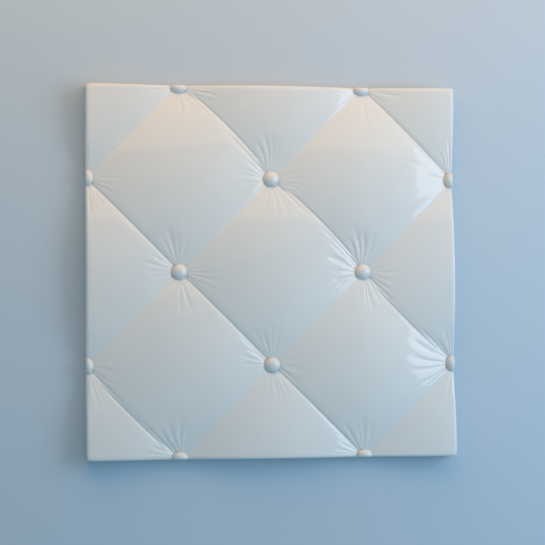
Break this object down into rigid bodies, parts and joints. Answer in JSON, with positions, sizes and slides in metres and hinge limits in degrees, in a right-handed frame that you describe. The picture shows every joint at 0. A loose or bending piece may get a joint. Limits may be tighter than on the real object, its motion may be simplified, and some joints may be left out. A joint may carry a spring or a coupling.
{
  "type": "3d wall panel tile",
  "caption": "Square cast plaster wall panel tile with a deep-buttoned, diamond-quilted relief, a flat back and plain edges for butt joints.",
  "frame": {"origin": "middle of the flat back face, which is also the middle of the part's footprint", "axes": "+Z out of the moulded face, -Z into the wall; +X and +Y along two edges, +Y up the wall as in the picture"},
  "size_m": [0.5, 0.5, 0.03],
  "materials": {
    "lacquered_plaster": "white cast gypsum plaster, face in satin white lacquer, back bare"
  },
  "bodies": {
    "root": {"tile": "lacquered_plaster"}
  },
  "joints": []
}
